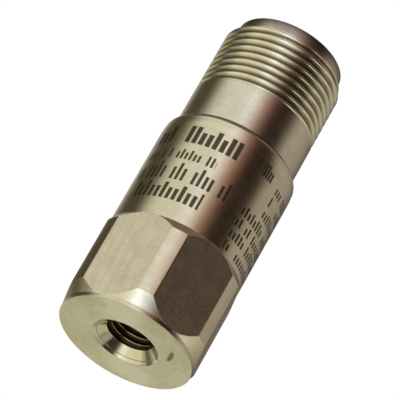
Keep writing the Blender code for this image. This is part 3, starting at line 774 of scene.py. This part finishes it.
strips = []
for column in columns:
    angle = math.radians(column)
    strip = []
    for radius, level in eased(case_corners(angle)):
        x, y = radius * math.cos(angle), radius * math.sin(angle)
        strip.append((x, y, level or dent(x, y)))
    strips.append(strip)
case_mesh = ring_mesh("case", list(zip(*strips)))
case_finishes = [turned_steel, milled_steel, faced_steel, tapped_steel, etched_steel]
TURNED, MILLED, FACED, TAPPED, ETCHED_BODY = range(5)
for face in case_mesh.polygons:
    angle = math.atan2(face.center.y, face.center.x)
    away, level = math.hypot(face.center.x, face.center.y), face.center.z
    in_cavity = away < CAVITY_RADIUS + 0.1 * MM and level > CAVITY_FLOOR - 1 * MM
    milled = BAR_RADIUS - hex_reach(angle) > EDGE_ROUNDING / 2 and level > LAND_TOP
    if away < SINK_RADIUS and level < CAVITY_FLOOR - 1 * MM:
        face.material_index = TAPPED
    elif in_cavity:
        face.material_index = TURNED
    elif level < 0.3 * MM and abs(face.normal.z) > 0.7:
        face.material_index = FACED
    elif level > FLATS_TOP:
        face.material_index = ETCHED_BODY
    elif milled and abs(face.normal.z) < 0.2:
        face.material_index = MILLED
print(len(strips), "columns of", len(strips[0]), "points")
piece("case", tidy(case_mesh), case_finishes, "housing")

# %% [markdown]
# ## Screw threads
#
# A thread is a ridge wound round a core, so one Geometry Nodes tree makes both of them: a spiral
# curve carries one pitch of the profile, which shrinks to nothing where the thread runs out. The
# profile is a resampled line that is lifted at its middle, with a round crest, because a sharp
# corner would lose the bright band that worn threads show. Roundness sets how full it is. The
# thread of the connector has 24 turns to the inch and that of the mounting hole has 28.

# %% Thread tree
THREAD_STEPS = 120      # points in each turn
SECTION_POINTS = 27
THREAD_FILL = 0.985     # width of the ridge, as a share of the pitch
THREAD_SINK = 0.06      # how far its foot goes into the core, as a share of its depth


def thread_tree():
    tree = bpy.data.node_groups.new("thread", "GeometryNodeTree")
    paint = Paint(tree)
    face = tree.interface
    for name, kind in (("Radius", "NodeSocketFloat"), ("Pitch", "NodeSocketFloat"),
                       ("Turns", "NodeSocketFloat"), ("Depth", "NodeSocketFloat"),
                       ("Roundness", "NodeSocketFloat"), ("Start Fade", "NodeSocketFloat"),
                       ("End Fade", "NodeSocketFloat"), ("Material", "NodeSocketMaterial")):
        face.new_socket(name, in_out="INPUT", socket_type=kind)
    face.new_socket("Mesh", in_out="OUTPUT", socket_type="NodeSocketGeometry")
    given = paint.node("NodeGroupInput")
    pitch, turns = given.other("Pitch"), given.other("Turns")
    line = paint.node("GeometryNodeCurveSpiral", sockets={
        "Resolution": THREAD_STEPS, "Rotations": turns, "Start Radius": given.other("Radius"),
        "End Radius": given.other("Radius"), "Height": pitch * turns, "Reverse": True})
    line = paint.node("GeometryNodeSetCurveNormal", {"mode": "Z_UP"}, {"Curve": line})
    share = paint.node("GeometryNodeSplineParameter")
    rise = share / given.other("Start Fade")
    fall = (1 - share) / given.other("End Fade")
    size = rise.math("MINIMUM", rise.math("MINIMUM", rise, fall), 1.0)
    line = paint.node("GeometryNodeSetCurveRadius", sockets={"Curve": line, "Radius": size})
    half = pitch * 0.5 * THREAD_FILL
    section = paint.node("GeometryNodeCurvePrimitiveLine", sockets={
        "Start": paint.join(0.0, 0 - half, 0.0), "End": paint.join(0.0, half, 0.0)})
    section = paint.node("GeometryNodeResampleCurve", sockets={"Curve": section, "Count": SECTION_POINTS})
    across = abs(2 * paint.node("GeometryNodeSplineParameter") - 1)
    bulge = 1 - across.math("POWER", across, given.other("Roundness"))
    lift = paint.join((bulge * (1 + THREAD_SINK) - THREAD_SINK) * given.other("Depth"), 0.0, 0.0)
    section = paint.node("GeometryNodeSetPosition", sockets={"Geometry": section, "Offset": lift})
    section = paint.node("GeometryNodeSetSplineCyclic", sockets={"Geometry": section, "Cyclic": True})
    ridge = paint.node("GeometryNodeCurveToMesh", sockets={
        "Curve": line, "Profile Curve": section, "Scale": size, "Fill Caps": True})
    solid = paint.node("GeometryNodeRealizeInstances", sockets={"Geometry": ridge})
    solid = paint.node("GeometryNodeSetMaterial", sockets={
        "Geometry": solid, "Material": given.other("Material")})
    paint.node("NodeGroupOutput", sockets={"Mesh": solid})
    return tree


thread_nodes = thread_tree()
print("thread tree:", len(thread_nodes.nodes), "nodes")

# %% Outside and inside threads
INCH = 25.4 * MM
CREST_LEVEL_AT_CAMERA = 36.09 * MM
COUPLING_PITCH = INCH / 24
COUPLING_FOOT = CREST_LEVEL_AT_CAMERA - 2 * COUPLING_PITCH
COUPLING_TURNS = 9.5
COUPLING_ROOT = 7.285 * MM
COUPLING_DEPTH = 0.63 * MM
COUPLING_ROUNDNESS = 2.0
COUPLING_FADES = (0.01, 0.7)   # the turns in which it grows and shrinks
MOUNT_PITCH = INCH / 28
MOUNT_FOOT = 1.55 * MM
MOUNT_TURNS = 5.8
MOUNT_DEPTH = -0.42 * MM       # inwards
MOUNT_ROUNDNESS = 1.2
MOUNT_FADES = (0.1, 0.3)


def thread(name, foot, pitch, turns, radius, depth, roundness, fades, finish):
    """A wound ridge as a plain mesh. It starts at the camera's side, on the level of foot."""
    item = bpy.data.objects.new(name, bpy.data.meshes.new(name))
    bpy.context.scene.collection.objects.link(item)
    modifier = item.modifiers.new("thread", "NODES")
    modifier.node_group = thread_nodes
    values = {"Radius": radius, "Pitch": pitch, "Turns": turns, "Depth": depth, "Roundness": roundness,
              "Start Fade": fades[0] / turns, "End Fade": fades[1] / turns, "Material": finish}
    for socket in thread_nodes.interface.items_tree:
        if socket.name in values:
            modifier[socket.identifier] = values[socket.name]
    shown = item.evaluated_get(bpy.context.evaluated_depsgraph_get())
    mesh = bpy.data.meshes.new_from_object(shown)
    bpy.data.objects.remove(item)
    camera_side = CAMERA_BEARING - math.radians(90)
    mesh.transform(Matrix.Translation((0, 0, foot)) @ Matrix.Rotation(camera_side, 4, "Z"))
    return tidy(mesh)


coupling_mesh = thread("coupling_thread", COUPLING_FOOT, COUPLING_PITCH, COUPLING_TURNS, COUPLING_ROOT,
                       COUPLING_DEPTH, COUPLING_ROUNDNESS, COUPLING_FADES, thread_steel)
mount_mesh = thread("mount_thread", MOUNT_FOOT, MOUNT_PITCH, MOUNT_TURNS, HOLE_RADIUS, MOUNT_DEPTH,
                    MOUNT_ROUNDNESS, MOUNT_FADES, tapped_steel)
piece("coupling_thread", coupling_mesh, [], None)
piece("mount_thread", mount_mesh, [], None)

# %% [markdown]
# ## Connector shell
#
# The shell is a lathe part: a flange that is welded to the body, a neck, the core of the thread, a
# plain lead and an open mouth. An outline is spun round the axis, so only its corners need care.
# Each gets its own rounding, because a real edge always catches a thin line of light.

# %% Connector shell
SHELL_COLUMNS = 240
FLANGE_BOTTOM = 27.43 * MM
FLANGE_EDGE_RADIUS = 7.95 * MM
FLANGE_RADIUS = 8.73 * MM
SHOULDER = [(radius * MM, level * MM, 0.08 * MM)
            for radius, level in ((8.715, 28.17), (8.63, 28.42), (8.42, 28.66))]
NECK_RADIUS = 7.915 * MM
THREAD_START = 34.90 * MM
THREAD_END = 44.10 * MM
NECK_CHAMFER, LEAD_CHAMFER = 0.25 * MM, 0.12 * MM   # heights of the cones at the thread's two ends
CORNER = 0.05 * MM
CORE_RADIUS = 7.27 * MM
LEAD_RADIUS = 7.005 * MM
MOUTH_RADIUS = 6.405 * MM
HEADER_SEAT = 32.0 * MM
LOWER_BORE = 5.405 * MM
SPIGOT_RADIUS = 6.90 * MM
SPIGOT_BOTTOM = 26.03 * MM
WELD_TOP = 27.93 * MM


def lathe(name, corners, columns, closed=False):
    """Spins an outline of (radius, height, rounding) corners round the axis."""
    if closed:
        corners = corners + [corners[0]]
    outline = eased(corners)
    ways = [math.tau * k / columns for k in range(columns)]
    rings = [[(radius * math.cos(way), radius * math.sin(way), level) for way in ways]
             for radius, level in outline]
    return tidy(ring_mesh(name, rings))


shell_corners = [
    (SPIGOT_RADIUS, SPIGOT_BOTTOM, 0), (SPIGOT_RADIUS, FLANGE_BOTTOM, ROUND_OFF),
    (FLANGE_EDGE_RADIUS, FLANGE_BOTTOM, ROUND_OFF), (FLANGE_RADIUS, WELD_TOP, ROUND_OFF / 8),
    *SHOULDER, (NECK_RADIUS, NECK_START, 0.04 * MM), (NECK_RADIUS, THREAD_START, 0.10 * MM),
    (CORE_RADIUS, THREAD_START + NECK_CHAMFER, CORNER), (CORE_RADIUS, THREAD_END, CORNER),
    (LEAD_RADIUS, THREAD_END + LEAD_CHAMFER, CORNER), (LEAD_RADIUS, SHELL_TOP, 0.25 * MM),
    (MOUTH_RADIUS, SHELL_TOP, 0.12 * MM), (MOUTH_RADIUS, HEADER_SEAT, ROUND_OFF),
    (LOWER_BORE, HEADER_SEAT, ROUND_OFF), (LOWER_BORE, SPIGOT_BOTTOM, ROUND_OFF)]
shell_mesh = lathe("shell", shell_corners, SHELL_COLUMNS, closed=True)
for face in shell_mesh.polygons:
    if face.center.z > THREAD_END:
        face.material_index = 1   # shaded_lead_steel
piece("shell", shell_mesh, [neck_steel, shaded_lead_steel], "connector_shell")

# %% [markdown]
# ## Weld
#
# A laser ran round the joint of body and shell. Its bead is almost flush, a touch darker, and
# straw-coloured along its upper edge, where the steel got hot.

# %% Weld bead
WELD_INNER_RADIUS = 8.2 * MM
WELD_MIDDLE = 27.33 * MM
WELD_HOLLOW = 0.012 * MM
STRAW_EDGE = (WELD_TOP - 0.45 * MM, WELD_TOP - 0.12 * MM)
BEAD, STRAW = colour(0.59, 0.53, 0.38), colour(0.56, 0.48, 0.32)


def weld_finish(name):
    material, paint = new_paint(name)
    x, y, z = paint.point()
    ripple = paint.noise(paint.join(x * 900.0, y * 900.0, z * 2600.0), 1.0, 2.0)
    heat = paint.between(z, *STRAW_EDGE)
    shade = paint.mix(heat, BEAD, STRAW)
    lines = paint.node("ShaderNodeBump", sockets={
        "Strength": 0.5, "Distance": 0.004 * MM, "Height": ripple})
    return metal(material, paint, shade, 0.18 + ripple * 0.06, lines)


weld_steel = weld_finish("weld_steel")
weld_corners = [(WELD_INNER_RADIUS, WELD_FOOT, 0), (BODY_RADIUS, WELD_FOOT, 0.01 * MM),
                (BODY_RADIUS - WELD_HOLLOW, WELD_MIDDLE, 0.5 * MM),
                (FLANGE_RADIUS, WELD_TOP, 0.01 * MM), (WELD_INNER_RADIUS, WELD_TOP, 0)]
weld_mesh = lathe("weld", weld_corners, SHELL_COLUMNS, closed=True)
piece("weld", weld_mesh, [weld_steel], "weld_bead")

# %% [markdown]
# ## Inside the mouth
#
# The mouth holds a steel eyelet, a plug of dark glass melted into it, two gold-plated pins through
# the glass, and a key that lets the plug of the cable in only one way round. Molten glass climbs
# what it wets, so its surface rises at the pins and at the eyelet. Here the height of a round grid
# is worked out point by point. The pins are lathe parts with domed tips.

# %% Eyelet
def turned_piece(name, corners, columns, finish, node, shift=0.0, closed=False):
    mesh = lathe(name, corners, columns, closed)
    mesh.transform(Matrix.Translation((shift, 0, 0)))
    piece(name, mesh, [finish], node)


ring_low, ring_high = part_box("header_ring")
EYELET_WALL = 0.85 * MM
EYELET_GAP = 0.01 * MM
eyelet_inner, eyelet_outer = MOUTH_RADIUS - EYELET_WALL, MOUTH_RADIUS - EYELET_GAP
eyelet_steel = steel("eyelet_steel", turned_marks, 0.24, 0.003, (0.56, 0.55, 0.52), (0.46, 0.45, 0.42))
eyelet_corners = [
    (eyelet_inner, ring_low.z, 0), (eyelet_outer, ring_low.z, ROUND_OFF),
    (eyelet_outer, ring_high.z, ROUND_OFF), (eyelet_inner, ring_high.z, ROUND_OFF)]
turned_piece("eyelet", eyelet_corners, 120, eyelet_steel, "header_ring", closed=True)

# %% Pins
gold_plate = steel("gold_plate", turned_marks, 0.18, 0.002, (0.84, 0.62, 0.27),
                   (0.74, 0.52, 0.20), 0.12)
PIN_TIP = ((1.0, 0.55), (0.86, 0.25), (0.55, 0.07))   # share of the radius, mm below the top
for node in ("pin_a", "pin_b"):
    pin_low, pin_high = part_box(node)
    pin_radius = (pin_high.x - pin_low.x) / 2
    tip = [(share * pin_radius, pin_high.z - drop * MM, 0.2 * MM) for share, drop in PIN_TIP]
    pin_corners = [(0, pin_low.z, 0), (pin_radius, pin_low.z, 0.1 * MM), *tip, (0, pin_high.z, 0)]
    turned_piece("pin" + node[-1], pin_corners, 48, gold_plate, node,
                 shift=(pin_low.x + pin_high.x) / 2)
pin_reach = abs(pin_low.x + pin_high.x) / 2

# %% Glass with its climbing edges
GLASS_CLIMB = 0.14 * MM
CLIMB_REACH = 0.22 * MM
GLASS_RINGS, GLASS_COLUMNS = 34, 144
GLASS, BUBBLES = colour(0.012, 0.028, 0.024), colour(0.03, 0.05, 0.045)
glass_low, glass_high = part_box("glass_seal")


def glass_level(x, y):
    """Level of the glass: a pool with raised edges where it touches metal."""
    gaps = [math.hypot(x - side * pin_reach, y) - pin_radius for side in (-1, 1)]
    gap = max(0.0, min(*gaps, eyelet_inner - math.hypot(x, y)))
    return glass_high.z - GLASS_CLIMB * (1 - math.exp(-gap / CLIMB_REACH))


def glass_ring(radius, level=None):
    ring = []
    for k in range(GLASS_COLUMNS):
        x, y = (radius * f(math.tau * k / GLASS_COLUMNS) for f in (math.cos, math.sin))
        ring.append((x, y, glass_level(x, y) if level is None else level))
    return ring


glass_rings = [glass_ring(0, glass_low.z), glass_ring(eyelet_inner, glass_low.z)]
glass_rings += [glass_ring(eyelet_inner * (1 - k / GLASS_RINGS)) for k in range(GLASS_RINGS + 1)]
dark_glass, paint = new_paint("dark_glass")
x, y, z = paint.point()
bubbles = paint.noise(paint.join(x, y, z), 1500.0, 3.0)
shade = paint.mix(paint.between(bubbles, 0.4, 0.7), GLASS, BUBBLES)
ripple = paint.node("ShaderNodeBump", sockets={
    "Strength": 0.4, "Distance": 0.004 * MM, "Height": bubbles})
shader = paint.node("ShaderNodeBsdfPrincipled", sockets={
    "Base Color": shade, "Roughness": 0.06 + bubbles * 0.1, "Normal": ripple})
paint.node("ShaderNodeOutputMaterial", sockets={"Surface": shader})
piece("glass", tidy(ring_mesh("glass", glass_rings)), [dark_glass], "glass_seal")

# %% Key
KEY_HALF_WIDTH = 0.80 * MM
KEY_FACE = MOUTH_RADIUS - 0.80 * MM
KEY_ROOT = MOUTH_RADIUS + 0.05 * MM
KEY_FOOT = ring_high.z - 0.1 * MM
KEY_TOP = SHELL_TOP - 1.2 * MM
KEY_CHAMFER = 0.18 * MM
key_outline = eased([
    (0, KEY_ROOT, 0), (KEY_HALF_WIDTH, KEY_ROOT, 0), (KEY_HALF_WIDTH, KEY_FACE, 0.15 * MM),
    (-KEY_HALF_WIDTH, KEY_FACE, 0.15 * MM), (-KEY_HALF_WIDTH, KEY_ROOT, 0), (0, KEY_ROOT, 0)])[:-1]


def key_ring(level, share):
    """The outline at a level, shrunk towards the wall."""
    return [(x * share, KEY_ROOT + (y - KEY_ROOT) * share, level) for x, y in key_outline]


key_rings = [key_ring(KEY_FOOT, 0.0), key_ring(KEY_FOOT, 1.0), key_ring(KEY_TOP - KEY_CHAMFER, 1.0),
             key_ring(KEY_TOP, 0.8), key_ring(KEY_TOP, 0.0)]
key_mesh = tidy(ring_mesh("key", key_rings))
key_mesh.shade_flat()
piece("key", key_mesh, [neck_steel], None)

# %% [markdown]
# ## What the case holds
#
# Crystals squeezed between a post and heavy blocks turn shaking into a charge, and a small board
# turns the charge into a signal. All this stays hidden, so the packed solids keep their shapes, but
# each gets the finish of its own stuff. One recipe serves them all: slow noise mixes two tints,
# fine noise sets the relief and the polish, and a stretch along an axis turns the grain into rings
# or streaks.

# %% Inner finishes, by the record's slots
# Two tints, metallic, roughness, grains per metre, relief in mm, stretch along each axis
INNER_FINISHES = {
    "washer_ceramic": ((0.86, 0.85, 0.80), (0.79, 0.78, 0.72), 0, 0.45, 900, 0.002, (1, 1, 1)),
    "sleeve_film": ((0.62, 0.33, 0.08), (0.50, 0.25, 0.05), 0, 0.28, 500, 0.001, (1, 1, 1)),
    "element_steel": ((0.60, 0.60, 0.59), (0.49, 0.49, 0.48), 1, 0.27, 300, 0.002, (0.3, 0.3, 9)),
    "piezo_ceramic": ((0.42, 0.36, 0.27), (0.35, 0.30, 0.22), 0, 0.50, 1500, 0.001, (1, 1, 1)),
    "mass_tungsten": ((0.25, 0.25, 0.26), (0.18, 0.18, 0.19), 1, 0.40, 1200, 0.004, (1, 1, 1)),
    "can_brass": ((0.72, 0.55, 0.26), (0.62, 0.45, 0.19), 1, 0.24, 250, 0.002, (6, 6, 0.3)),
    "grommet_rubber": ((0.03, 0.03, 0.03), (0.05, 0.05, 0.05), 0, 0.70, 1800, 0.003, (1, 1, 1)),
    "carrier_plastic": ((0.66, 0.56, 0.42), (0.58, 0.48, 0.35), 0, 0.42, 700, 0.002, (1, 1, 4)),
    "board_laminate": ((0.03, 0.22, 0.09), (0.02, 0.16, 0.06), 0, 0.32, 2200, 0.003, (1, 1, 1)),
    "chip_black": ((0.02, 0.02, 0.02), (0.035, 0.035, 0.035), 0, 0.55, 3000, 0.002, (1, 1, 1)),
    "capacitor_tan": ((0.52, 0.36, 0.20), (0.45, 0.30, 0.16), 0, 0.50, 2500, 0.001, (1, 1, 1)),
    "resistor_black": ((0.03, 0.03, 0.04), (0.05, 0.05, 0.06), 0, 0.35, 2500, 0.001, (1, 1, 1)),
    "lead_red": ((0.55, 0.03, 0.02), (0.45, 0.02, 0.015), 0, 0.38, 800, 0.001, (1, 1, 1)),
    "lead_white": ((0.80, 0.80, 0.78), (0.70, 0.70, 0.67), 0, 0.38, 800, 0.001, (1, 1, 1)),
}


def inner_finish(name, tint, second, metallic, roughness, grain, relief, stretch):
    material, paint = new_paint(name)
    place = paint.join(*(socket * share for socket, share in zip(paint.point(), stretch)))
    cloud = paint.noise(place, grain, 4.0, 0.6)
    fine = paint.noise(place, grain * 8.0, 2.0)
    shade = paint.mix(paint.between(cloud, 0.35, 0.65), colour(*tint), colour(*second))
    lines = paint.node("ShaderNodeBump", sockets={
        "Strength": 1.0, "Distance": relief * MM, "Height": fine})
    shader = paint.node("ShaderNodeBsdfPrincipled", sockets={
        "Base Color": shade, "Metallic": metallic, "Roughness": fine * 0.12 + roughness, "Normal": lines})
    paint.node("ShaderNodeOutputMaterial", sockets={"Surface": shader})
    return material


finishes = {slot: inner_finish(slot + "_finish", *values) for slot, values in INNER_FINISHES.items()}
finishes.update(housing_steel=turned_steel, connector_steel=neck_steel, weld_metal=weld_steel,
                header_steel=eyelet_steel, sealing_glass=dark_glass, pin_gold=gold_plate)
for part in frame["record"]["subparts"]:
    for slot in frame["nodes"][part["node"]].material_slots:
        slot.material = finishes[part["material_slot"]]
print(len(finishes), "finishes on", len(frame["nodes"]), "packed solids")
